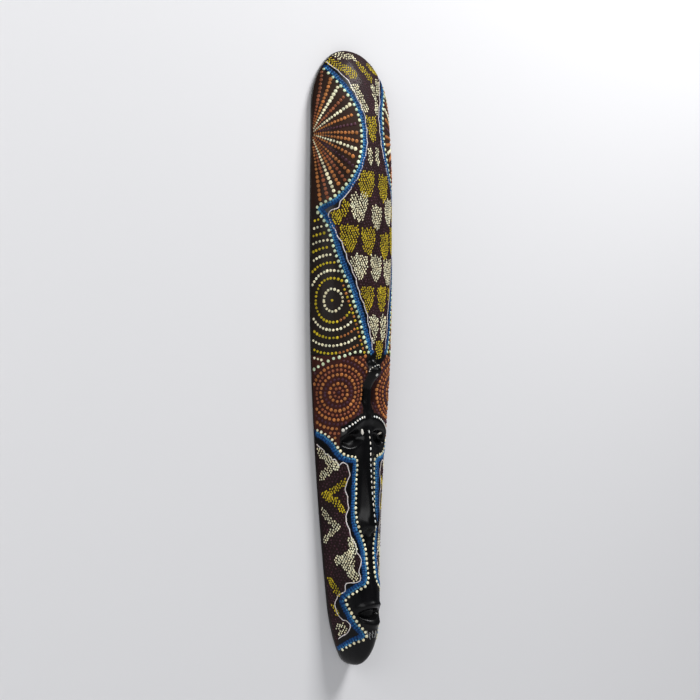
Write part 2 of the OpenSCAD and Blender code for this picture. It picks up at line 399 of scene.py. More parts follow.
    def ridge(self, x: np.ndarray, s: np.ndarray) -> np.ndarray:
        """Return the forehead ridge, the knob at its upper end and the grooves beside it."""
        along = (ramp((self.ridge_high - s) / self.ridge_end)
                 * ramp((s - self.ridge_low) / self.ridge_end))
        knob = bell(np.hypot(x, (s - self.knob_z) / self.knob_stretch) / self.knob_reach)
        crest = ramp(self.ridge_steep * (1 - np.abs(x) / self.ridge_half))
        grooves = (bell((np.abs(x) - self.groove_x) / self.groove_half)
                   * ramp((self.groove_high - s) / self.groove_high_fade)
                   * ramp((s - self.groove_low) / self.groove_low_fade))
        return (along * (self.ridge_rise * crest + self.knob_rise * knob)
                - self.groove_sink * grooves)

    def lip(self, x: np.ndarray, drop: np.ndarray, half: float, end: float) -> np.ndarray:
        """Return how far a lip stands out.

        Args:
            x: Distances from the centre line.
            drop: Heights above the lip's middle, away from the mouth.
            half: Half the lip's height.
            end: The distance from the centre line at which it ends.

        Returns:
            The lip's height over the muzzle.
        """
        closed = drop + self.lip_bend * x * x
        return self.lip_rise * bell(closed / half) * ramp((end - np.abs(x)) / self.lip_fade)

    def mouth(self, x: np.ndarray, s: np.ndarray) -> np.ndarray:
        """Return the muzzle with its open mouth, its two lips and the groove over them."""
        r = np.hypot(x / self.mouth_half_w, (s - self.mouth_z) / self.mouth_half_h)
        upper = self.lip(x, s - self.upper_lip_z, self.upper_lip_half, self.upper_lip_end)
        lower = self.lip(x, self.lower_lip_z - s, self.lower_lip_half, self.lower_lip_end)
        muzzle = self.muzzle_rise * bell(
            np.hypot(x / self.muzzle_half, (s - self.muzzle_z) / self.muzzle_half_h))
        groove = (self.lip_groove_sink * bell(x / self.lip_groove_half)
                  * ramp((s - self.muzzle_z) / self.lip_fade)
                  * ramp((self.lip_groove_high - s) / self.lip_fade))
        hollow = self.mouth_sink * ramp(self.mouth_steep * (self.mouth_soft - r))
        return muzzle + upper + lower - groove - hollow

    def relief(self, x: np.ndarray, s: np.ndarray) -> np.ndarray:
        """Return how far the carved face stands out of the plain front."""
        face = (self.nose(x, s) + self.brow(x, s) + self.eye(x, s)
                + self.ridge(x, s) + self.mouth(x, s))
        return face * ramp((self.face_top - s) / self.face_fade)

    def front(self, angle: np.ndarray, s: np.ndarray) -> np.ndarray:
        """Return points of the carved front in metres, in the part's frame."""
        x, out = self.section(angle, s)
        out = out + self.relief(x, s) * ramp(self.face_edge[0] * np.cos(angle) - self.face_edge[1])
        return MM * np.stack([x, self.wall_y - out, self.chin_z + s + 0 * x], axis=-1)

    def back(self, share: np.ndarray, s: np.ndarray) -> np.ndarray:
        """Return points of the back in metres.

        Args:
            share: From -1 at one rim to 1 at the other; the flat rim is the outer tenth.
            s: Heights above the chin.

        Returns:
            Points in the part's frame.
        """
        a = self.half_width(s)
        inner = np.maximum(a - self.rim_w, a / 2)
        turn = np.clip(np.abs(share) / self.flat_from, 0.0, 1.0)
        rim = np.clip((np.abs(share) - self.flat_from) / (1.0 - self.flat_from), 0.0, 1.0)
        x = np.sign(share) * (inner * np.sin(turn * np.pi / 2) + (a - inner) * rim)
        ends = dome((s - self.hollow_start) / self.hollow_slope) * dome(
            (self.hollow_end - s) / self.hollow_slope)
        hollow = np.maximum(self.front_depth(s) - self.wall, 0.0) * ends
        out = self.back_depth(s) + hollow * np.cos(turn * np.pi / 2)
        return MM * np.stack([x, self.wall_y - out, self.chin_z + s + 0 * x], axis=-1)


@dataclass
class Layout:
    """The lines of the painting, for the left half: distance from the middle line, and height.

    The right half mirrors them about the painting's own middle line, which strays a little
    from the carving's.
    """

    upper_border: list[Spot] = field(default_factory=lambda: [
        (69, 962), (52, 938), (38, 917), (28, 897), (23.5, 872), (23.5, 848), (28, 824),
        (37, 801), (52, 777), (74, 755), (101, 739), (92, 722), (82, 705), (73, 673),
        (63, 645), (51, 617), (41, 589), (31, 563), (23, 537), (15, 516), (9, 504)])
    upper_line: list[Spot] = field(default_factory=lambda: [
        (60, 977), (49, 963), (33, 944), (27, 930), (20, 911), (12.5, 893), (11, 870),
        (11.5, 850), (14, 833), (21, 815), (29, 793), (37, 781), (45, 769), (52, 758),
        (61, 750), (64, 739), (76, 734), (81, 724), (75, 711), (67, 695), (58, 679),
        (52, 661), (44, 643), (36, 624), (31, 607), (24, 590), (16, 573), (11, 552),
        (5, 530), (1, 511)])
    green_row: list[Spot] = field(default_factory=lambda: [
        (104, 481), (87, 490), (73, 498), (56, 502), (41, 507), (24, 510)])
    lower_border: list[Spot] = field(default_factory=lambda: [
        (100, 386), (81, 379), (65, 367), (54, 352), (46, 345), (36, 342), (27, 341),
        (21, 335), (20, 322), (21, 300), (21, 274), (22, 256), (21, 240), (18, 223),
        (13, 208), (9, 192), (8, 170), (8, 148), (13, 135), (24, 128), (35, 121),
        (46, 111), (43, 101), (36, 88), (28, 74), (20, 65), (13, 55), (17, 47),
        (29, 42), (41, 34), (57, 22)])
    cheek_line: list[Spot] = field(default_factory=lambda: [
        (94, 362), (82, 354), (76, 347), (70, 344), (65, 337), (59, 337), (54, 328),
        (46, 332), (39, 326), (35, 314), (38, 302), (42, 292), (39, 280), (37, 268),
        (37, 256), (41, 243), (38, 232), (34, 220), (31, 208), (25, 199), (25, 189),
        (19, 181), (18, 168), (23, 158), (20, 148), (26, 140), (43, 138), (46, 126),
        (59, 116), (64, 98), (54, 80), (44, 77), (39, 67), (45, 57), (62, 45)])
    brow_dots: list[Spot] = field(default_factory=lambda: [
        (51, 384), (42, 390), (32, 396), (21, 402), (9, 405)])
    middle: list[Spot] = field(default_factory=lambda: [
        (0, 470), (4, 490), (15, 508), (14, 545), (9, 595), (6, 645), (6.5, 690),
        (5, 740), (4, 850), (4, 1000)])
    fan_spot: Spot = (109.0, 857.0)
    ring_spot: Spot = (76.0, 591.0)
    sun_spot: Spot = (61.0, 444.0)

    def across(self, points: list[Spot], s: np.ndarray) -> np.ndarray:
        """Return a line's distance from the centre line at the heights s."""
        path = smooth_path(points, 1.0)
        order = np.argsort(path[:, 1])
        return np.interp(s, path[order, 1], path[order, 0])

    def above(self, points: list[Spot], q: np.ndarray) -> np.ndarray:
        """Return a line's height at the distances q from the centre line."""
        order = sorted(points)
        return np.interp(q, [spot[0] for spot in order], [spot[1] for spot in order])

    def stray(self, s: np.ndarray) -> np.ndarray:
        """Return how much further out the right half's spots are than the left half's."""
        return 2.0 * np.interp(s, [h for _, h in self.middle], [m for m, _ in self.middle])


@dataclass
class Dots:
    """A pot of raised paint: dots that are gathered by place, size and colour, then built as one piece."""

    carving: Carving
    layout: Layout
    name: str
    seed: int
    sides: int = 8
    rings: int = 4
    rows: list[tuple[float, ...]] = field(default_factory=list)

    def __post_init__(self) -> None:
        """Start the hand's own unevenness from a fixed seed."""
        self.hand = random.Random(self.seed)

    def drop(self, spots: np.ndarray, radius: float | np.ndarray, paint: Paint,
             long: float = 1.0, turn: float | np.ndarray = 0.0, wander: float = 0.25,
             both: bool = True) -> None:
        """Put dots on the left half and mirror them to the other, each a little uneven.

        Args:
            spots: Distances from the centre line and heights, in millimetres.
            radius: The dots' radius, one for all or one each.
            paint: Their colour.
            long: How much longer than wide a dot is.
            turn: The angle of a long dot from upright, in radians.
            wander: How far a dot may stray from its spot.
            both: Whether both halves get the dots; otherwise the distances are signed,
                with the left half's below nought, and each dot is put down once.
        """
        if not len(spots):
            return
        sizes = np.broadcast_to(radius, len(spots))
        turns = np.broadcast_to(turn, len(spots))
        strays = self.layout.stray(spots[:, 1])
        edges = self.carving.edge(spots[:, 1]) - 1.5
        for side in Side if both else [None]:
            for (q, s), size, lean, stray, edge in zip(spots, sizes, turns, strays, edges):
                place = q if side is None else side.value * q
                if side is Side.RIGHT:
                    place += stray
                if abs(place) > edge:
                    continue
                tone = self.hand.uniform(0.72, 1.16)
                warm = self.hand.uniform(-0.06, 0.06)
                r, g, b = paint.value
                self.rows.append((
                    place + self.hand.uniform(-wander, wander),
                    s + self.hand.uniform(-wander, wander),
                    size * self.hand.uniform(0.86, 1.1),
                    long * self.hand.uniform(0.95, 1.12),
                    lean * (1 if side is None else side.value),
                    r * tone * (1 + warm), g * tone, b * tone * (1 - warm)))

    def template(self) -> tuple[np.ndarray, np.ndarray]:
        """Return one dot's corners and triangles: a low dome with its foot in the ground."""
        bm = bmesh.new()
        bmesh.ops.create_uvsphere(bm, u_segments=self.sides, v_segments=self.rings, radius=1.0)
        whole = bm.verts[:] + bm.edges[:] + bm.faces[:]
        bmesh.ops.bisect_plane(bm, geom=whole, plane_co=(0, 0, -0.2), plane_no=(0, 0, -1),
                               clear_outer=True)
        bmesh.ops.scale(bm, vec=(1, 1, 0.46), verts=bm.verts)
        bmesh.ops.triangulate(bm, faces=bm.faces)
        bm.verts.index_update()
        corners = np.array([v.co for v in bm.verts])
        faces = np.array([[v.index for v in f.verts] for f in bm.faces])
        bm.free()
        return corners, faces

    def build(self) -> bpy.types.Object:
        """Stamp every dot onto the carved surface as one mesh.

        Returns:
            The piece, with each dot's colour and gloss in the attribute "paint".
        """
        data = np.array(self.rows)
        q, s, size, long, lean = data[:, :5].T
        angle = self.carving.angle_at(q, s)
        place = self.carving.front(angle, s)
        across = self.carving.front(angle + 0.012, s) - self.carving.front(angle - 0.012, s)
        upward = self.carving.front(angle, s + 0.8) - self.carving.front(angle, s - 0.8)
        normal = np.cross(across, upward)
        normal /= np.linalg.norm(normal, axis=1, keepdims=True)
        upward -= normal * np.sum(upward * normal, axis=1, keepdims=True)
        upward /= np.linalg.norm(upward, axis=1, keepdims=True)
        across = np.cross(upward, normal)
        run = upward * np.cos(lean)[:, None] + across * np.sin(lean)[:, None]
        side = np.cross(run, normal)
        corners, faces = self.template()
        span = (size * MM)[:, None, None]
        spread = (side[:, None, :] * corners[None, :, :1] * span
                  + run[:, None, :] * corners[None, :, 1:2] * span * long[:, None, None]
                  + normal[:, None, :] * corners[None, :, 2:] * span)
        points = (place[:, None, :] + spread).reshape(-1, 3)
        count = len(corners)
        joined = (faces[None] + count * np.arange(len(data))[:, None, None]).reshape(-1, 3)
        mesh = bpy.data.meshes.new(self.name)
        mesh.from_pydata(points.tolist(), [], joined.tolist())
        tint = mesh.attributes.new("paint", "FLOAT_COLOR", "POINT")
        colours = np.column_stack([data[:, 5:8], np.full(len(data), 0.6)])
        tint.data.foreach_set("color", np.repeat(colours, count, axis=0).ravel())
        mesh.shade_smooth()
        mesh.update()
        piece = bpy.data.objects.new(self.name, mesh)
        bpy.context.scene.collection.objects.link(piece)
        return piece


def group_sockets(group: bpy.types.NodeTree, inputs: dict[str, tuple[str, object]],
                  outputs: dict[str, str]) -> tuple[bpy.types.Node, bpy.types.Node]:
    """Give a node group its named sockets.

    Args:
        group: The node group.
        inputs: Each input's name, with its socket type and default value.
        outputs: Each output's name, with its socket type.

    Returns:
        The group's input node and output node.
    """
    for name, (kind, value) in inputs.items():
        socket = group.interface.new_socket(name, in_out="INPUT", socket_type=kind)
        socket.default_value = value
    for name, kind in outputs.items():
        group.interface.new_socket(name, in_out="OUTPUT", socket_type=kind)
    return group.nodes.new("NodeGroupInput"), group.nodes.new("NodeGroupOutput")


@dataclass
class Effects:
    """The surface effects that several finishes share, each a node group built once."""

    def __post_init__(self) -> None:
        """Build the groups."""
        self.brush = self.make_brush()
        self.grain = self.make_grain()
        self.scratches = self.make_scratches()

    def noise(self, group: bpy.types.NodeTree, scale: tuple[float, float, float],
              detail: float) -> bpy.types.Node:
        """Add noise on object coordinates, stretched by a mapping of the given scale."""
        coords = group.nodes.new("ShaderNodeTexCoord")
        mapping = group.nodes.new("ShaderNodeMapping")
        mapping.inputs["Scale"].default_value = scale
        noise = group.nodes.new("ShaderNodeTexNoise")
        noise.inputs["Scale"].default_value = 1.0
        noise.inputs["Detail"].default_value = detail
        group.links.new(coords.outputs["Object"], mapping.inputs["Vector"])
        group.links.new(mapping.outputs["Vector"], noise.inputs["Vector"])
        return noise

    def mapped(self, group: bpy.types.NodeTree, source: bpy.types.NodeSocket, low: float,
               high: float, start: float = 0.3, stop: float = 0.7) -> bpy.types.NodeSocket:
        """Stretch a value's range from start and stop to low and high."""
        node = group.nodes.new("ShaderNodeMapRange")
        node.inputs["From Min"].default_value = start
        node.inputs["From Max"].default_value = stop
        node.inputs["To Min"].default_value = low
        node.inputs["To Max"].default_value = high
        group.links.new(source, node.inputs["Value"])
        return node.outputs["Result"]

    def shaded(self, group: bpy.types.NodeTree, colour: bpy.types.NodeSocket,
               factor: bpy.types.NodeSocket) -> bpy.types.NodeSocket:
        """Multiply a colour by a grey factor."""
        mix = group.nodes.new("ShaderNodeVectorMath")
        mix.operation = "SCALE"
        group.links.new(colour, mix.inputs[0])
        group.links.new(factor, mix.inputs["Scale"])
        return mix.outputs["Vector"]

    def make_brush(self) -> bpy.types.NodeTree:
        """Brush marks in thick paint: uneven tone, gloss and height."""
        group = bpy.data.node_groups.new("brush_marks", "ShaderNodeTree")
        start, end = group_sockets(
            group, {"Colour": ("NodeSocketColor", (0.5, 0.5, 0.5, 1.0)),
                    "Gloss": ("NodeSocketFloat", 1.0)},
            {"Colour": "NodeSocketColor", "Roughness": "NodeSocketFloat",
             "Height": "NodeSocketFloat"})
        broad = self.noise(group, (60, 60, 18), 4.0)
        fine = self.noise(group, (900, 900, 240), 3.0)
        tone = self.mapped(group, broad.outputs["Fac"], 0.72, 1.28)
        once = self.shaded(group, start.outputs["Colour"], tone)
        streak = self.mapped(group, fine.outputs["Fac"], 0.86, 1.14)
        group.links.new(self.shaded(group, once, streak), end.inputs["Colour"])
        rough = group.nodes.new("ShaderNodeMath")
        rough.operation = "ADD"
        group.links.new(self.mapped(group, broad.outputs["Fac"], 0.20, 0.36), rough.inputs[0])
        group.links.new(self.mapped(group, start.outputs["Gloss"], 0.36, 0.0, 0.0, 1.0),
                        rough.inputs[1])
        group.links.new(rough.outputs["Value"], end.inputs["Roughness"])
        group.links.new(fine.outputs["Fac"], end.inputs["Height"])
        return group

    def make_grain(self) -> bpy.types.NodeTree:
        """Bare carved wood: long grain, pores and the facets that the gouge left."""
        group = bpy.data.node_groups.new("wood_grain", "ShaderNodeTree")
        start, end = group_sockets(
            group, {"Light": ("NodeSocketColor", (0.5, 0.4, 0.3, 1.0)),
                    "Dark": ("NodeSocketColor", (0.3, 0.2, 0.1, 1.0))},
            {"Colour": "NodeSocketColor", "Roughness": "NodeSocketFloat",
             "Height": "NodeSocketFloat"})
        grain = self.noise(group, (150, 150, 6), 6.0)
        pores = self.noise(group, (1400, 1400, 60), 2.0)
        blend = group.nodes.new("ShaderNodeMix")
        blend.data_type = "RGBA"
        share = self.mapped(group, grain.outputs["Fac"], 0.0, 1.0, 0.35, 0.65)
        group.links.new(share, blend.inputs["Factor"])
        group.links.new(start.outputs["Dark"], blend.inputs["A"])
        group.links.new(start.outputs["Light"], blend.inputs["B"])
        speck = self.mapped(group, pores.outputs["Fac"], 0.75, 1.1)
        group.links.new(self.shaded(group, blend.outputs["Result"], speck), end.inputs["Colour"])
        group.links.new(self.mapped(group, pores.outputs["Fac"], 0.82, 0.62),
                        end.inputs["Roughness"])
        coords = group.nodes.new("ShaderNodeTexCoord")
        mapping = group.nodes.new("ShaderNodeMapping")
        mapping.inputs["Scale"].default_value = (90, 90, 38)
        gouge = group.nodes.new("ShaderNodeTexVoronoi")
        gouge.inputs["Scale"].default_value = 1.0
        group.links.new(coords.outputs["Object"], mapping.inputs["Vector"])
        group.links.new(mapping.outputs["Vector"], gouge.inputs["Vector"])
        both = group.nodes.new("ShaderNodeMath")
        both.operation = "MULTIPLY_ADD"
        both.inputs[1].default_value = 0.25
        group.links.new(pores.outputs["Fac"], both.inputs[0])
        group.links.new(gouge.outputs["Distance"], both.inputs[2])
        group.links.new(both.outputs["Value"], end.inputs["Height"])
        return group

    def make_scratches(self) -> bpy.types.NodeTree:
        """Metal that has been handled: dull patches and fine scratches."""
        group = bpy.data.node_groups.new("handled_metal", "ShaderNodeTree")
        start, end = group_sockets(
            group, {"Colour": ("NodeSocketColor", (0.6, 0.6, 0.6, 1.0))},
            {"Colour": "NodeSocketColor", "Roughness": "NodeSocketFloat",
             "Height": "NodeSocketFloat"})
        patches = self.noise(group, (320, 320, 320), 5.0)
        fine = self.noise(group, (5000, 900, 900), 2.0)
        tone = self.mapped(group, patches.outputs["Fac"], 0.7, 1.1)
        group.links.new(self.shaded(group, start.outputs["Colour"], tone), end.inputs["Colour"])
        group.links.new(self.mapped(group, patches.outputs["Fac"], 0.5, 0.25),
                        end.inputs["Roughness"])
        group.links.new(fine.outputs["Fac"], end.inputs["Height"])
        return group


@dataclass(frozen=True)
class Finish:
    """What every finish shares: a material with one shader, dressed by a shared effect."""

    name: str
    bump: float = 0.2
    bump_depth: float = 0.0002

    def start(self) -> tuple[bpy.types.Material, bpy.types.Node]:
        """Return a new material and its shader."""
        material = bpy.data.materials.new(self.name)
        material.use_nodes = True
        return material, material.node_tree.nodes["Principled BSDF"]

    def dress(self, material: bpy.types.Material, shader: bpy.types.Node,
              effect: bpy.types.NodeTree) -> bpy.types.Node:
        """Feed a shared effect to the shader.

        Args:
            material: The material.
            shader: Its shader.
            effect: The node group with Colour, Roughness and Height.

        Returns:
            The group's node, whose inputs are still free.
        """
        tree = material.node_tree
        node = tree.nodes.new("ShaderNodeGroup")
        node.node_tree = effect
        bump = tree.nodes.new("ShaderNodeBump")
        bump.inputs["Strength"].default_value = self.bump
        bump.inputs["Distance"].default_value = self.bump_depth
        tree.links.new(node.outputs["Colour"], shader.inputs["Base Color"])
        tree.links.new(node.outputs["Roughness"], shader.inputs["Roughness"])
        tree.links.new(node.outputs["Height"], bump.inputs["Height"])
        tree.links.new(bump.outputs["Normal"], shader.inputs["Normal"])
        return node


@dataclass(frozen=True)
class HandPaint(Finish):
    """Paint whose colour is kept on the mesh, as each dot or painted field has its own."""

    attribute: str = "paint"
    coat: float = 0.05
    shine: float = 0.13

    def make(self, effects: Effects) -> bpy.types.Material:
        """Return the paint's material."""
        material, shader = self.start()
        shader.inputs["Specular IOR Level"].default_value = self.shine
        shader.inputs["Coat Weight"].default_value = self.coat
        shader.inputs["Coat Roughness"].default_value = 0.12
        node = self.dress(material, shader, effects.brush)
        colour = material.node_tree.nodes.new("ShaderNodeAttribute")
        colour.attribute_name = self.attribute
        material.node_tree.links.new(colour.outputs["Color"], node.inputs["Colour"])
        material.node_tree.links.new(colour.outputs["Alpha"], node.inputs["Gloss"])
        return material


@dataclass(frozen=True)
class BareWood(Finish):
    """The unpainted wood of the hollow back."""

    light: Colour = (0.36, 0.24, 0.13)
    dark: Colour = (0.19, 0.11, 0.055)

    def make(self, effects: Effects) -> bpy.types.Material:
        """Return the bare wood's material."""
        material, shader = self.start()
        node = self.dress(material, shader, effects.grain)
        node.inputs["Light"].default_value = (*self.light, 1.0)
        node.inputs["Dark"].default_value = (*self.dark, 1.0)
        return material


@dataclass(frozen=True)
class Metal(Finish):
    """Plated steel or brass of the hanger."""

    colour: Colour = (0.6, 0.6, 0.62)

    def make(self, effects: Effects) -> bpy.types.Material:
        """Return the metal's material."""
        material, shader = self.start()
        shader.inputs["Metallic"].default_value = 1.0
        node = self.dress(material, shader, effects.scratches)
        node.inputs["Colour"].default_value = (*self.colour, 1.0)
        return material


@dataclass
class Wood:
    """The mask itself: carved front, rim, hollow back and the hanger's pocket."""

    carving: Carving
    layout: Layout
    columns: int = 104
    rows: int = 620
    back_columns: int = 28
    pocket_w: float = 44.0
    pocket_depth: float = 12.0
    pocket_low: float = -63.0
    pocket_high: float = 10.5

    def heights(self, v: np.ndarray) -> np.ndarray:
        """Spread the rows, from -1 to 1, so that they close up at both ends."""
        share = 0.5 + 0.5 * (0.6 * v + 0.4 * np.sin(v * np.pi / 2))
        return 0.4 + (self.carving.length - 0.8) * share

    def sheet(self, columns: int, shape: Callable[[np.ndarray, np.ndarray], np.ndarray],
              flip: bool) -> bpy.types.Mesh:
        """Bend a flat grid to a surface of the carving.

        Args:
            columns: How many faces the grid has across.
            shape: Turns shares across and heights into points.
            flip: Whether the faces are turned over.

        Returns:
            The sheet's mesh.
        """
        bm = bmesh.new()
        bmesh.ops.create_grid(bm, x_segments=columns, y_segments=self.rows, size=1.0)
        if flip:
            bmesh.ops.reverse_faces(bm, faces=bm.faces)
        mesh = bpy.data.meshes.new("sheet")
        bm.to_mesh(mesh)
        bm.free()
        flat = np.empty(len(mesh.vertices) * 3)
        mesh.vertices.foreach_get("co", flat)
        flat = flat.reshape(-1, 3)
        points = shape(flat[:, 0], self.heights(flat[:, 1]))
        mesh.vertices.foreach_set("co", points.ravel())
        return mesh

    def cut_pocket(self, bm: bmesh.types.BMesh) -> None:
        """Sink the hanger's pocket into the flat upper part of the back."""
        top = self.carving.wall_y * MM
        half = self.pocket_w / 2 * MM
        low = self.pocket_low * MM
        high = self.pocket_high * MM
        cuts = [((half, 0, 0), (1, 0, 0)), ((-half, 0, 0), (1, 0, 0)),
                ((0, 0, low), (0, 0, 1)), ((0, 0, high), (0, 0, 1))]
        for spot, way in cuts:
            faces = [f for f in bm.faces if f.material_index == 1
                     and low - 0.01 < f.calc_center_median().z < high + 0.01
                     and abs(f.normal.y) > 0.9]
            geom = faces + list({e for f in faces for e in f.edges})
            geom += list({v for f in faces for v in f.verts})
            bmesh.ops.bisect_plane(bm, geom=geom, plane_co=spot, plane_no=way, dist=1e-7)
        inside = [f for f in bm.faces if f.material_index == 1
                  and abs(f.calc_center_median().x) < half
                  and low < f.calc_center_median().z < high
                  and abs(f.calc_center_median().y - top) < 1e-5]
        raised = bmesh.ops.extrude_face_region(bm, geom=inside)["geom"]
        sunk = [g for g in raised if isinstance(g, bmesh.types.BMVert)]
        bmesh.ops.translate(bm, verts=sunk, vec=(0, -self.pocket_depth * MM, 0))
        old = [f for f in inside if f.is_valid]
        if old:
            bmesh.ops.delete(bm, geom=old, context="FACES")

    def fields(self, q: np.ndarray, s: np.ndarray) -> np.ndarray:
        """Choose the ground colour at each point of the front.

        Args:
            q: Distances from the centre line, either side.
            s: Heights above the chin.

        Returns:
            A colour for each point.
        """
        lay = self.layout
        far = np.where(q < 0, -q, np.maximum(q - lay.stray(s), 0.0))
        colours = np.tile(np.array(Paint.BLACK.value), (len(q), 1))
        upper = lay.across(lay.upper_border, s)
        line = lay.across(lay.upper_line, s)
        lower = lay.above(lay.lower_border[:6], far)
        cheek = lay.across(lay.cheek_line, s)
        brow = lay.above(lay.brow_dots, far) + 7.0
        choices = [
            ((s > 738) & (far > upper), Paint.FAN_GROUND),
            ((s > 505) & (s <= 738) & (far > upper), Paint.RING_GROUND),
            ((s > 507) & (far < line), Paint.PANEL_GROUND),
            ((s > 985), Paint.PANEL_GROUND),
            ((s <= 503) & (s > lower) & (far > 11.5) & ((s > brow) | (far > 55)),
             Paint.SUN_GROUND),
            ((s < 366) & (far > cheek), Paint.CHEEK_GROUND),
        ]
        for mask, paint in choices:
            colours[mask] = paint.value
        spots = np.column_stack([far, s])
        for points, out in ((lay.upper_border, -6.5), (lay.lower_border, 6.5)):
            path = shifted(smooth_path(points, 3.0), out)
            colours[distance_to(path, spots) < 4.2] = Paint.DEEP_BLUE.value
        return colours

    def build(self) -> bpy.types.Object:
        """Join front and back into one closed mesh with its painted fields."""
        carving = self.carving
        front = self.sheet(self.columns, lambda u, s: carving.front(u * np.pi / 2, s), False)
        back = self.sheet(self.back_columns, carving.back, True)
        bm = bmesh.new()
        bm.from_mesh(front)
        for face in bm.faces:
            face.material_index = 0
        before = len(bm.faces)
        bm.from_mesh(back)
        bm.faces.ensure_lookup_table()
        for face in bm.faces[before:]:
            middle = face.calc_center_median() / MM
            room = float(carving.half_width(middle.z - carving.chin_z)) - abs(middle.x)
            painted = room < 6.0 or middle.z - carving.chin_z < 30.0
            face.material_index = 0 if painted else 1
        for way in (-1, 1):
            sides = [e for e in bm.edges if e.is_boundary
                     and min(e.verts[0].co.x * way, e.verts[1].co.x * way) > 0
                     and abs(e.verts[0].co.z - e.verts[1].co.z) > 1e-7]
            for face in bmesh.ops.bridge_loops(bm, edges=sides)["faces"]:
                face.material_index = 0
        ends = [e for e in bm.edges if e.is_boundary]
        for face in bmesh.ops.holes_fill(bm, edges=ends, sides=0)["faces"]:
            face.material_index = 0
        bm.normal_update()
        self.cut_pocket(bm)
        bmesh.ops.recalc_face_normals(bm, faces=bm.faces)
        mesh = bpy.data.meshes.new("carved_mask")
        bm.to_mesh(mesh)
        bm.free()
        for sheet in (front, back):
            bpy.data.meshes.remove(sheet)
        self.paint_fields(mesh)
        mesh.shade_smooth()
        piece = bpy.data.objects.new("carved_mask", mesh)
        bpy.context.scene.collection.objects.link(piece)
        return piece

    def paint_fields(self, mesh: bpy.types.Mesh) -> None:
        """Write the fields' colours to the mesh's corners, with the black's gloss as alpha."""
        carving = self.carving
        flat = np.empty(len(mesh.vertices) * 3)
        mesh.vertices.foreach_get("co", flat)
        x, y, z = (flat.reshape(-1, 3) / MM).T
        s = z - carving.chin_z
        share = np.clip(x / np.maximum(carving.half_width(s), 1e-6), -1, 1)
        angle = np.arcsin(share)
        row = np.clip(np.searchsorted(carving.heights, s), 0, len(carving.heights) - 1)
        column = (angle + np.pi / 2) / np.pi * (len(carving.angles) - 1)
        low = np.clip(column.astype(int), 0, len(carving.angles) - 2)
        part = column - low
        q = carving.reach[row, low] * (1 - part) + carving.reach[row, low + 1] * part
        fields = self.fields(q, s)
        fields[(carving.wall_y - y < 2.0) | (s < 12.0)] = Paint.BLACK.value
        gloss = np.where(fields.max(axis=1) < 0.005, 1.0, 0.0)
        colours = np.column_stack([fields, gloss])
        layer = mesh.attributes.new("ground", "FLOAT_COLOR", "POINT")
        layer.data.foreach_set("color", colours.ravel())


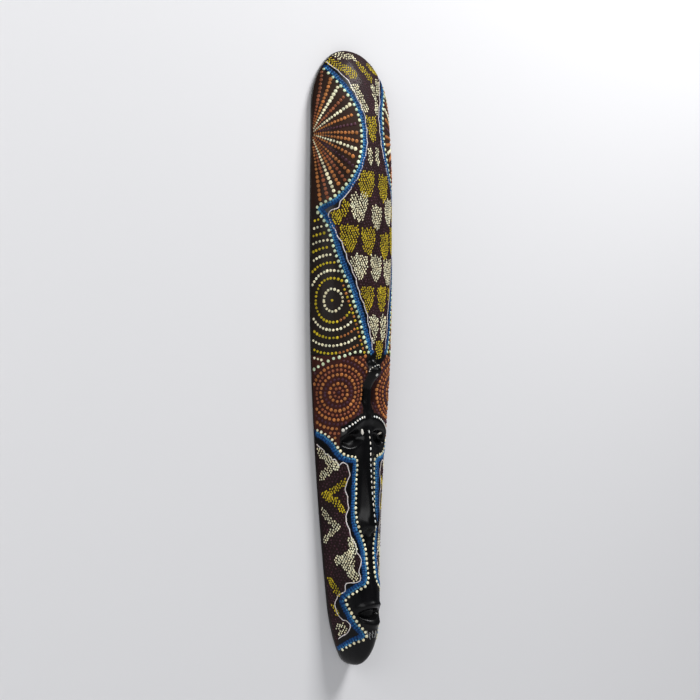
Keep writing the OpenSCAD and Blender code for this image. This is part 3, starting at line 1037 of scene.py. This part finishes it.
@dataclass
class Painting:
    """The dot painting, one method for each motif."""

    carving: Carving
    layout: Layout
    pots: list[Dots] = field(default_factory=list)
    taken: list[np.ndarray] = field(default_factory=list)
    pitch: float = 4.0
    rays: list[tuple[float, Paint]] = field(default_factory=lambda: [
        (87, Paint.RUST), (79, Paint.ORANGE), (71, Paint.RUST), (62.5, Paint.ORANGE),
        (54, Paint.CREAM), (44, Paint.RUST), (34, Paint.CREAM), (23, Paint.ORANGE),
        (12, Paint.PLUM), (1.5, Paint.ORANGE), (-8.5, Paint.ORANGE), (-18.5, Paint.CREAM),
        (-28, Paint.ORANGE), (-37.5, Paint.PLUM), (-46, Paint.ORANGE), (-54.5, Paint.RUST),
        (-62, Paint.ORANGE), (-69, Paint.CREAM), (-76, Paint.RUST), (-83, Paint.ORANGE)])

    def pot(self, name: str, sides: int = 8, rings: int = 4) -> Dots:
        """Open a new pot of raised paint."""
        pot = Dots(self.carving, self.layout, name, seed=len(self.pots) + 11, sides=sides, rings=rings)
        self.pots.append(pot)
        return pot

    def fans(self) -> None:
        """Rays of dots that grow outwards from a point on the rim."""
        pot = self.pot("fan_rays", sides=10, rings=5)
        q0, s0 = self.layout.fan_spot
        for degrees, paint in self.rays:
            turn = math.radians(degrees)
            spots, sizes, r = [], [], 7.0
            while True:
                spot = (q0 - r * math.cos(turn), s0 + r * math.sin(turn))
                limit = self.layout.across(self.layout.upper_border, np.array([spot[1]]))[0]
                if spot[0] < limit + 6.3 or not 747 < spot[1] < 960:
                    break
                sizes.append(1.1 + 2.0 * min(1.0, r / 74.0))
                spots.append(spot)
                r += 2.1 * sizes[-1] + 0.7
            if spots:
                pot.drop(np.array(spots), np.array(sizes), paint)

    def rings(self) -> None:
        """Rings of cream and yellow dots beside the lower half of the centre panel."""
        pot = self.pot("side_rings", sides=9, rings=5)
        q0, s0 = self.layout.ring_spot
        pot.drop(np.array([[q0, s0]]), 2.6, Paint.YELLOW)
        for step, radius in enumerate((18, 35, 47.5, 60, 72.5, 84.5, 96, 107.5, 119, 130.5, 142)):
            paint = Paint.YELLOW if step % 2 else Paint.CREAM
            around = np.arange(0, 2 * np.pi, 6.5 / radius)
            squeeze = np.where(np.cos(around) > 0, min(1.0, 0.66 + radius / 300.0), 0.96)
            spots = np.column_stack([q0 + radius * squeeze * np.cos(around),
                                     s0 + radius * np.sin(around)])
            border = self.layout.across(self.layout.upper_border, spots[:, 1])
            green = self.layout.above(self.layout.green_row, spots[:, 0])
            beside = np.where(spots[:, 1] < 585, 12.0, 5.5)
            inside = (spots[:, 0] > border + beside) & (spots[:, 1] < 733)
            inside &= spots[:, 1] > green + 5.5
            low = inside & (spots[:, 1] < 565) & (spots[:, 0] < 62) & (step % 2 > 0)
            pot.drop(spots[inside & ~low], 2.3, paint)
            pot.drop(spots[low], 2.25, Paint.ORANGE)

    def suns(self) -> None:
        """Rings of orange and plum dots on the forehead beside the ridge."""
        pot = self.pot("forehead_suns", sides=9, rings=5)
        q0, s0 = self.layout.sun_spot
        pot.drop(np.array([[q0, s0]]), 2.8, Paint.PLUM)
        for step in range(1, 14):
            radius = 7.25 * step
            paint = Paint.ORANGE if step % 2 == 0 else (Paint.RUST, Paint.PLUM)[step // 2 % 2]
            around = np.arange(0, 2 * np.pi, (7.0 if step % 2 == 0 else 6.6) / radius)
            spots = np.column_stack([q0 + radius * np.cos(around), s0 + radius * np.sin(around)])
            green = self.layout.above(self.layout.green_row, spots[:, 0])
            border = self.layout.above(self.layout.lower_border[:6], spots[:, 0])
            brow = self.layout.above(self.layout.brow_dots, spots[:, 0])
            keep = (spots[:, 1] < green - 6) & (spots[:, 0] > 12.5) & (spots[:, 1] > border + 6)
            keep &= (spots[:, 1] > brow + 8) | (spots[:, 0] > 56)
            pot.drop(spots[keep], 2.75 if step % 2 == 0 else 2.3, paint)

    def borders(self) -> None:
        """The big dots that edge the fields, and the blue bands beside them."""
        big = self.pot("border_dots", sides=10, rings=5)
        blue = self.pot("blue_bands")
        lay = self.layout
        for points, way in ((lay.upper_border, -1.0), (lay.lower_border, 1.0)):
            path = smooth_path(points, 8.6 if way < 0 else 7.6)
            big.drop(path, 2.7 if way < 0 else 2.45, Paint.MINT if way < 0 else Paint.CREAM)
            fine = smooth_path(points, 4.2)
            rows = ((3.9, 2.0, Paint.PALE_BLUE), (6.3, 2.1, Paint.BLUE), (8.6, 1.9, Paint.BLUE))
            for out, size, paint in rows:
                spots = shifted(fine, way * out)
                blue.drop(spots[spots[:, 0] > -4.0], size, paint, wander=0.7)
        big.drop(smooth_path(lay.green_row, 9.2), 2.7, Paint.MINT)
        inner = shifted(smooth_path(lay.upper_border[15:], 6.6), 7.5)
        big.drop(inner[::2], 2.1, Paint.ORANGE)
        big.drop(inner[1::2], 2.1, Paint.YELLOW)

    def lines(self) -> None:
        """The thin scalloped lines round the centre panel and the cheeks."""
        pot = self.pot("scalloped_lines", sides=6)
        for points, lobe, deep in ((self.layout.upper_line, 21.0, 1.8),
                                   (self.layout.cheek_line, 18.0, 1.4)):
            path = smooth_path(points, 1.5)
            swell = deep * np.abs(np.sin(np.arange(len(path)) * 1.5 / lobe * np.pi))
            path = path + np.column_stack([swell * np.sign(deep), 0 * swell])
            way = np.gradient(path, axis=0)
            turn = np.arctan2(way[:, 0], way[:, 1])
            pot.drop(path, 0.95, Paint.LINE, long=1.6, turn=turn, wander=0.05)

    def hexes(self, low: Spot, high: Spot, pitch: float) -> np.ndarray:
        """Return a honeycomb of spots in a box."""
        rows = np.arange(low[1], high[1], pitch * 0.87)
        spots = [
            (q + (pitch / 2 if i % 2 else 0.0), s)
            for i, s in enumerate(rows)
            for q in np.arange(low[0], high[0], pitch)
        ]
        if not spots:
            return np.zeros((0, 2))
        even = np.array(spots)
        wave = np.column_stack([np.sin(even[:, 1] / 5.3 + even[:, 0] / 9.0),
                                np.cos(even[:, 0] / 4.7 + even[:, 1] / 11.0)])
        return even + 1.2 * wave

    def leaf(self, pot: Dots, middle: Spot, wide: float, tall: float, paint: Paint) -> None:
        """Fill one leaf of the centre panel with small long dots.

        Args:
            pot: The paint that it is made in.
            middle: The leaf's centre, with a signed distance from the centre line.
            wide: Its full width.
            tall: Its full height, with two or three lobes above and a point below.
            paint: Its colour.
        """
        q0, s0 = middle
        spots = self.hexes((q0 - wide / 2 - 3, s0 - tall / 2 - 2),
                           (q0 + wide / 2 + 3, s0 + tall / 2 + 2), self.pitch)
        v = (s0 + tall / 2 - spots[:, 1]) / tall
        half = wide / 2 * np.sqrt(np.clip(1 - v**2.6, 0, 1)) * (0.86 + 0.14 * np.sin(np.pi * v))
        u = (spots[:, 0] - q0) / np.maximum(half, 1e-3)
        kept = (np.abs(u) < 1.0) & (v > 0.07 + 0.05 * np.cos(3 * np.pi * u))
        spots = spots[kept]
        line = self.layout.across(self.layout.upper_line, spots[:, 1])
        far = np.where(spots[:, 0] < 0, -spots[:, 0], spots[:, 0] - self.layout.stray(spots[:, 1]))
        inside = far < line - 1.2
        turn = 0.4 * u[kept] + 0.25 * np.sin(spots[:, 1] / 7.0)
        pot.drop(spots[inside], 1.32, paint, long=1.3, turn=turn[inside], wander=0.6, both=False)
        self.taken.append(spots)

    def stroke(self, pot: Dots, paint: Paint, thick: float, points: list[Spot],
               both: bool = False) -> None:
        """Fill a bent band with small long dots.

        Args:
            pot: The paint that it is made in.
            paint: Its colour.
            thick: Its width.
            points: The band's corners.
            both: Whether it is mirrored; otherwise its distances are signed.
        """
        path = np.array(points, dtype=float)
        low = path.min(axis=0) - thick
        high = path.max(axis=0) + thick
        spots = self.hexes((low[0], low[1]), (high[0], high[1]), self.pitch)
        near = distance_to(path, spots)
        wobble = 0.8 * np.sin(spots[:, 1] / 3.1) * np.cos(spots[:, 0] / 2.7)
        spots = spots[near < thick / 2 + wobble]
        turn = 0.35 * np.sin(spots[:, 0] / 9.0 + spots[:, 1] / 13.0)
        pot.drop(spots, 1.32, paint, long=1.3, turn=turn, wander=0.6, both=both)
        self.taken.append(spots)

    def fill_between(self, pot: Dots, low: Spot, high: Spot, inside: Callable[..., np.ndarray],
                     both: bool) -> None:
        """Put dull plum dots where a field is still free of paint."""
        spots = self.hexes(low, high, 5.2)
        spots = spots[inside(spots)]
        done = np.concatenate(self.taken)
        gap = np.min(np.hypot(spots[:, 0, None] - done[None, :, 0],
                              spots[:, 1, None] - done[None, :, 1]), axis=1)
        free = spots[gap > 3.8]
        half = np.arange(len(free)) % 3 == 0
        pot.drop(free[half], 1.55, Paint.PLUM, wander=0.8, both=both)
        pot.drop(free[~half], 1.5, Paint.DUSK, wander=0.8, both=both)

    def panel(self) -> None:
        """Rows of leaves on the centre panel, yellow and cream by turns."""
        pot = self.pot("panel_leaves", sides=6)
        self.taken = []
        strokes = [
            (Paint.CREAM, 13.0, [(-36, 986), (-20, 989), (-8, 986)]),
            (Paint.YELLOW, 17.0, [(-52, 975), (-36, 965), (-20, 955)]),
            (Paint.YELLOW, 12.0, [(-2, 975), (8, 964), (17, 952)]),
            (Paint.YELLOW, 12.0, [(26, 976), (42, 966), (58, 972)]),
            (Paint.CREAM, 15.0, [(-24, 934), (-16, 918), (-9, 900)]),
            (Paint.CREAM, 9.0, [(17, 938), (20, 916), (17, 896)]),
            (Paint.CREAM, 11.0, [(36, 950), (31, 932)]),
            (Paint.CREAM, 9.0, [(-8, 832), (-8, 812)]),
            (Paint.CREAM, 9.0, [(8, 834), (8, 814)]),
        ]
        for paint, thick, points in strokes:
            self.stroke(pot, paint, thick, points)
        rows = [
            (Paint.YELLOW, [(1, 869, 24, 46), (-17, 778, 34, 48), (23, 774, 30, 48)]),
            (Paint.CREAM, [(-31, 741, 33, 50), (5, 725, 25, 42), (41, 736, 32, 46)]),
            (Paint.YELLOW, [(-55, 738, 14, 28), (-68, 723, 20, 26), (70, 736, 18, 30),
                            (84, 722, 16, 26)]),
            (Paint.YELLOW, [(-48, 690, 33, 48), (-13, 687, 30, 46), (27, 680, 29, 46),
                            (61, 690, 32, 48)]),
            (Paint.CREAM, [(-31, 645, 33, 44), (4, 643, 28, 44), (38, 638, 32, 44)]),
            (Paint.YELLOW, [(-15, 594, 28, 46), (19, 595, 28, 44), (45, 600, 16, 30)]),
            (Paint.CREAM, [(-1, 545, 22, 50), (24, 548, 19, 46)]),
            (Paint.YELLOW, [(14, 512, 20, 34)]),
        ]
        for paint, leaves in rows:
            for q, s, wide, tall in leaves:
                self.leaf(pot, (q, s), wide, tall, paint)

        def inside(spots: np.ndarray) -> np.ndarray:
            """Tell which spots lie between the panel's two lines."""
            line = self.layout.across(self.layout.upper_line, spots[:, 1])
            stray = self.layout.stray(spots[:, 1])
            return (spots[:, 0] > 2.5 - line) & (spots[:, 0] < line + stray - 2.5)

        self.fill_between(self.pot("panel_shadow_dots", sides=6), (-88, 512), (98, 984), inside,
                          both=False)

    def cheeks(self) -> None:
        """Bent bands of small cream and yellow dots on the cheeks."""
        pot = self.pot("cheek_bands", sides=6)
        self.taken = []
        bands = [
            (Paint.CREAM, 12.0, [(90, 351), (80, 343), (68, 333), (60, 328), (74, 316), (88, 306)]),
            (Paint.CREAM, 7.0, [(62, 333), (56, 322)]),
            (Paint.YELLOW, 11.0, [(45, 301), (58, 290), (77, 280), (60, 270), (46, 256)]),
            (Paint.YELLOW, 6.0, [(76, 284), (62, 277), (54, 270)]),
            (Paint.CREAM, 11.0, [(83, 256), (70, 242), (56, 229), (68, 217), (78, 205)]),
            (Paint.CREAM, 13.0, [(33, 206), (30, 190), (42, 181), (58, 175)]),
            (Paint.CREAM, 13.0, [(50, 174), (40, 160), (30, 148)]),
            (Paint.CREAM, 9.0, [(34, 186), (34, 152)]),
            (Paint.YELLOW, 10.0, [(73, 143), (65, 131), (59, 121)]),
            (Paint.YELLOW, 8.0, [(68, 100), (62, 88)]),
            (Paint.CREAM, 9.0, [(62, 66), (52, 70), (48, 64), (60, 54)]),
        ]
        for paint, thick, points in bands:
            self.stroke(pot, paint, thick, points, both=True)

        def inside(spots: np.ndarray) -> np.ndarray:
            """Tell which spots lie between the cheek's line and the rim."""
            return spots[:, 0] > self.layout.across(self.layout.cheek_line, spots[:, 1]) + 2.5

        self.fill_between(self.pot("cheek_shadow_dots", sides=6), (14, 44), (102, 356), inside,
                          both=True)

    def face(self) -> None:
        """White marks on the brows, the nose, the eyes and the knob, and grey strokes on the chin."""
        pot = self.pot("face_accents", sides=10, rings=5)
        brow = smooth_path(self.layout.brow_dots, 5.6)
        sizes = np.linspace(2.1, 1.7, len(brow))
        sizes[0] = 3.1
        pot.drop(brow, sizes, Paint.WHITE)
        nose = np.column_stack([np.zeros(18), np.linspace(380, 228, 18)])
        pot.drop(nose, 1.35, Paint.WHITE, long=1.9, wander=0.1, both=False)
        pot.drop(np.array([[-12.0, 380.0]]), 2.3, Paint.WHITE, long=2.6, turn=-0.45, both=False)
        # A single white mark by the outer corner of the right eye only; the left eye has none there.
        pot.drop(np.array([[39.0, 376.0]]), 2.6, Paint.WHITE, long=1.8, both=False)
        arch = np.linspace(-0.5 * np.pi, 0.5 * np.pi, 11)
        pot.drop(np.column_stack([1 + 10.5 * np.sin(arch), 478 + 10 * np.cos(arch)]), 1.2, Paint.WHITE,
                 wander=0.1, both=False)
        pot.drop(np.array([[-3.0, 472.0]]), 1.9, Paint.WHITE, long=1.8, wander=0.0, both=False)
        strokes = np.array([[3.0 + 4.5 * i, 60.0 - 2.2 * (i % 2) - 3.0 * j]
                            for i in range(3) for j in range(4)])
        pot.drop(strokes, 0.8, Paint.GREY, long=2.6, turn=0.5, wander=0.8)

    def build(self) -> list[bpy.types.Object]:
        """Paint every motif and return the pieces."""
        for motif in (self.fans, self.rings, self.suns, self.borders, self.lines,
                      self.panel, self.cheeks, self.face):
            motif()
        return [pot.build() for pot in self.pots]


@dataclass
class Studio:
    """Floor, wall, lights and camera, which aren't part of the mask."""

    carving: Carving
    turn: float = math.radians(-45.0)
    distance: float = 2.7
    aim_up: float = 0.512
    aim_side: float = 0.006
    lens: float = 85.0
    wall_gap: float = 0.0015
    wall_size: float = 9.0
    wall_up: float = 1.2
    floor_size: float = 8.0
    floor_drop: float = 0.6
    pale_colour: Colour = (0.76, 0.76, 0.775)
    pale_rough: float = 0.8
    sky_colour: Colour = (0.92, 0.95, 1.0)
    sky_power: float = 0.10
    lamps: tuple[tuple[str, Vector, float, float], ...] = (
        ("key", Vector((1.2, -1.6, 2.0)), 100.0, 1.0),
        ("fill", Vector((-2.45, -1.15, 0.5)), 38.0, 1.8),
        ("behind", Vector((0.6, 2.4, 0.6)), 26.0, 1.6))

    def pale(self, name: str, see_through: bool) -> bpy.types.Material:
        """Return a plain pale paint, seen from its front side only if asked."""
        material = bpy.data.materials.new(name)
        material.use_nodes = True
        tree = material.node_tree
        shader = tree.nodes["Principled BSDF"]
        shader.inputs["Base Color"].default_value = (*self.pale_colour, 1.0)
        shader.inputs["Roughness"].default_value = self.pale_rough
        if see_through:
            clear = tree.nodes.new("ShaderNodeBsdfTransparent")
            mix = tree.nodes.new("ShaderNodeMixShader")
            sides = tree.nodes.new("ShaderNodeNewGeometry")
            tree.links.new(sides.outputs["Backfacing"], mix.inputs["Fac"])
            tree.links.new(shader.outputs["BSDF"], mix.inputs[1])
            tree.links.new(clear.outputs["BSDF"], mix.inputs[2])
            tree.links.new(mix.outputs["Shader"],
                           tree.nodes["Material Output"].inputs["Surface"])
        return material

    def plane(self, name: str, size: float, matrix: Matrix) -> bpy.types.Object:
        """Lay a square sheet of the stage with its place in its mesh."""
        bm = bmesh.new()
        bmesh.ops.create_grid(bm, x_segments=2, y_segments=2, size=size / 2)
        bmesh.ops.transform(bm, matrix=matrix, verts=bm.verts)
        mesh = bpy.data.meshes.new(name)
        bm.to_mesh(mesh)
        bm.free()
        sheet = bpy.data.objects.new(name, mesh)
        bpy.context.scene.collection.objects.link(sheet)
        return sheet

    def light(self, name: str, place: Vector, power: float, size: float) -> None:
        """Hang a soft square light that faces the mask."""
        lamp = bpy.data.lights.new(name, "AREA")
        lamp.energy = power
        lamp.size = size
        holder = bpy.data.objects.new(name, lamp)
        middle = Vector((0, 0, self.carving.chin_z * MM + 0.5))
        holder.location = place
        holder.rotation_euler = (middle - place).to_track_quat("-Z", "Y").to_euler()
        bpy.context.scene.collection.objects.link(holder)

    def build(self) -> None:
        """Set the stage, light it and place the camera."""
        chin = self.carving.chin_z * MM
        wall_y = self.carving.wall_y * MM + self.wall_gap
        under = Matrix.Translation((0, 0, chin - self.floor_drop))
        floor = self.plane("floor", self.floor_size, under)
        floor.data.materials.append(self.pale("pale_floor", False))
        upright = Matrix.Rotation(math.radians(90), 4, "X")
        stand = Matrix.Translation((0, wall_y, chin + self.wall_up)) @ upright
        wall = self.plane("wall", self.wall_size, stand)
        wall.data.materials.append(self.pale("pale_wall", True))
        wall.visible_shadow = False
        wall.visible_diffuse = False
        wall.visible_glossy = False
        for name, place, power, size in self.lamps:
            self.light(name, place, power, size)
        world = bpy.data.worlds.new("studio")
        world.use_nodes = True
        sky = world.node_tree.nodes["Background"]
        sky.inputs["Color"].default_value = (*self.sky_colour, 1.0)
        sky.inputs["Strength"].default_value = self.sky_power
        bpy.context.scene.world = world
        bpy.context.scene.view_settings.view_transform = "Standard"
        lens = bpy.data.cameras.new("camera")
        lens.lens = self.lens
        camera = bpy.data.objects.new("camera", lens)
        right = Vector((math.cos(self.turn), math.sin(self.turn), 0))
        away = Vector((math.sin(self.turn), -math.cos(self.turn), 0))
        target = Vector((0, self.carving.wall_y * MM, chin + self.aim_up)) + right * self.aim_side
        camera.location = target + away * self.distance
        camera.rotation_euler = (target - camera.location).to_track_quat("-Z", "Y").to_euler()
        bpy.context.scene.collection.objects.link(camera)
        bpy.context.scene.camera = camera


def dress_node(node: str, material: bpy.types.Material) -> None:
    """Give a CAD node its finish."""
    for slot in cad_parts[node].material_slots:
        slot.material = material
    LOG.info("%s dressed in %s", node, material.name)


def main() -> None:
    """Build the mask, its painting, its hanger and the studio."""
    logging.basicConfig(level=logging.INFO, format="%(name)s: %(message)s")
    carving = Carving()
    layout = Layout()
    effects = Effects()
    ground = HandPaint("ground_paint", bump=0.35, attribute="ground").make(effects)
    raised = HandPaint("raised_paint", bump=0.12, bump_depth=0.0001).make(effects)
    bare = BareWood("bare_wood", bump=0.6, bump_depth=0.0008).make(effects)
    steel = Metal("zinc_steel", bump=0.15, bump_depth=0.00003).make(effects)
    brass = Metal("screw_brass", bump=0.15, bump_depth=0.00003,
                  colour=(0.62, 0.43, 0.16)).make(effects)
    wood = Wood(carving, layout).build()
    wood.data.materials.append(ground)
    wood.data.materials.append(bare)
    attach(wood, BODY)
    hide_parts("mask_shell")
    LOG.info("%s has %d faces", wood.name, len(wood.data.polygons))
    for piece in Painting(carving, layout).build():
        piece.data.materials.append(raised)
        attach(piece, BODY)
        LOG.info("%s has %d faces", piece.name, len(piece.data.polygons))
    for node in ("hanger_strap", "hanger_ring"):
        dress_node(node, steel)
    for node in ("screw_upper", "screw_lower"):
        dress_node(node, brass)
    Studio(carving).build()
    bpy.context.view_layer.update()


if __name__ == "__main__":
    main()
